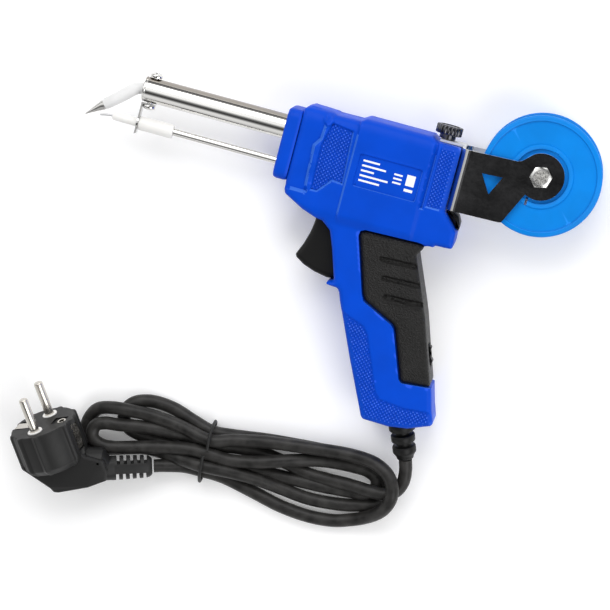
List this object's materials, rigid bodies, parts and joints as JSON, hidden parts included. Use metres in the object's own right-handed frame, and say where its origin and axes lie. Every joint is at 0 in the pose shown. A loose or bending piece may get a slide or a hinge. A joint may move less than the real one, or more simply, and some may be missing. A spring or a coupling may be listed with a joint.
{
  "type": "soldering iron",
  "caption": "Pistol-grip soldering gun with bent tip, trigger-driven solder feed, solder reel on a steel bracket, and a hanked mains lead with an angled plug.",
  "frame": {"origin": "centre of the gun on the surface that it lies on, without its lead, under the casing", "axes": "+X runs along the barrel from the tip to the reel, +Y is the upright direction of the gun in use, +Z goes from the right side, on which it lies, to the left side"},
  "size_m": [0.2628, 0.2562, 0.0413],
  "materials": {
    "blue_plastic": "satin moulded",
    "reel_plastic": "satin moulded, light blue",
    "black_plastic": "fine moulded grain",
    "black_rubber": "soft, fine leather grain",
    "cord_sheath": "matt PVC",
    "chrome": "polished",
    "steel": "polished sheet and bright zinc",
    "tip_metal": "frosted iron plating with a tinned point",
    "brass": "machined",
    "solder": "soft grey metal",
    "white_ptfe": "smooth",
    "ceramic": "matt",
    "board": "lacquered"
  },
  "bodies": {
    "gun": {"left_shell": "blue_plastic", "right_shell": "blue_plastic", "shell_screw_1": "steel", "shell_screw_2": "steel", "shell_screw_3": "steel", "shell_screw_4": "steel", "nose_collar": "blue_plastic", "tail_bumper": "black_plastic", "tail_foot": "black_plastic", "rubber_grip": "black_rubber", "switch_housing": "black_plastic", "barrel_tube": "chrome", "barrel_flange": "steel", "heater_core": "ceramic", "soldering_tip": "tip_metal", "tip_screw_top": "chrome", "tip_screw_bottom": "chrome", "nozzle_strap": "steel", "feed_nozzle": "white_ptfe", "feed_tube": "chrome", "solder_wire": "solder", "feed_axle": "steel", "pinch_arm_pin": "steel", "pinch_spring": "steel", "trigger_spring": "steel", "trigger_pin": "steel", "circuit_board": "board", "terminal_block": "white_ptfe", "cord_clamp": "black_plastic", "reel_bracket": "steel", "reel_bush": "brass", "reel_bolt": "steel", "reel_nut": "steel", "thumbscrew_insert": "brass", "strain_relief": "black_plastic", "power_cord": "cord_sheath", "cord_tie": "black_plastic", "plug_body": "black_plastic", "plug_pin_1": "chrome", "pin_collar_1": "white_ptfe", "earth_clip_1": "steel", "plug_pin_2": "chrome", "pin_collar_2": "white_ptfe", "earth_clip_2": "steel", "earth_socket": "brass", "plug_relief": "black_plastic"},
    "trigger": {"trigger": "black_plastic"},
    "feed_lever": {"feed_lever": "steel"},
    "feed_wheel": {"feed_wheel": "steel"},
    "pinch_arm": {"pinch_arm": "steel", "pinch_axle": "steel"},
    "pinch_roller": {"pinch_roller": "steel"},
    "reel": {"solder_reel": "reel_plastic", "solder_winding": "solder"},
    "thumbscrew": {"bracket_thumbscrew": "chrome"},
    "rocker": {"power_rocker": "black_plastic"}
  },
  "joints": [
    {"name": "trigger_pull", "type": "hinge", "parent": "gun", "child": "trigger", "pos_m": [0.0058, 0.01285, 0.0185], "axis": [0, 0, 1], "range_deg": [0, 14], "stiffness_Nm_per_rad": 0.6, "springref_deg": -17.19},
    {"name": "feed_lever_swing", "type": "hinge", "parent": "gun", "child": "feed_lever", "pos_m": [0.0248, 0.01995, 0.0185], "axis": [0, 0, 1], "range_deg": [-10, 0]},
    {"name": "reel_spin", "type": "hinge", "parent": "gun", "child": "reel", "pos_m": [0.1006, 0.05635, 0.0185], "axis": [0, 0, 1], "continuous": true},
    {"name": "feed_wheel_spin", "type": "hinge", "parent": "gun", "child": "feed_wheel", "pos_m": [0.0248, 0.01995, 0.0185], "axis": [0, 0, 1], "continuous": true},
    {"name": "pinch_arm_lift", "type": "hinge", "parent": "gun", "child": "pinch_arm", "pos_m": [0.0404, 0.04505, 0.0185], "axis": [0, 0, -1], "range_deg": [0, 3], "stiffness_Nm_per_rad": 0.5, "springref_deg": -11.46},
    {"name": "pinch_roller_spin", "type": "hinge", "parent": "pinch_arm", "child": "pinch_roller", "pos_m": [0.0248, 0.03495, 0.0185], "axis": [0, 0, 1], "continuous": true},
    {"name": "thumbscrew_turn", "type": "hinge", "parent": "gun", "child": "thumbscrew", "pos_m": [0.0496, 0.06385, 0.0185], "axis": [0, 1, 0], "continuous": true},
    {"name": "rocker_tilt", "type": "hinge", "parent": "gun", "child": "rocker", "pos_m": [0.0664, -0.04855, 0.0185], "axis": [0, 0, 1], "range_deg": [-6, 6]}
  ],
  "couplings": [
    {"joint": "feed_lever_swing", "follows": "trigger_pull", "ratio": -0.7},
    {"joint": "feed_wheel_spin", "follows": "reel_spin", "ratio": -2.3611},
    {"joint": "pinch_roller_spin", "follows": "reel_spin", "ratio": 2.8333}
  ]
}
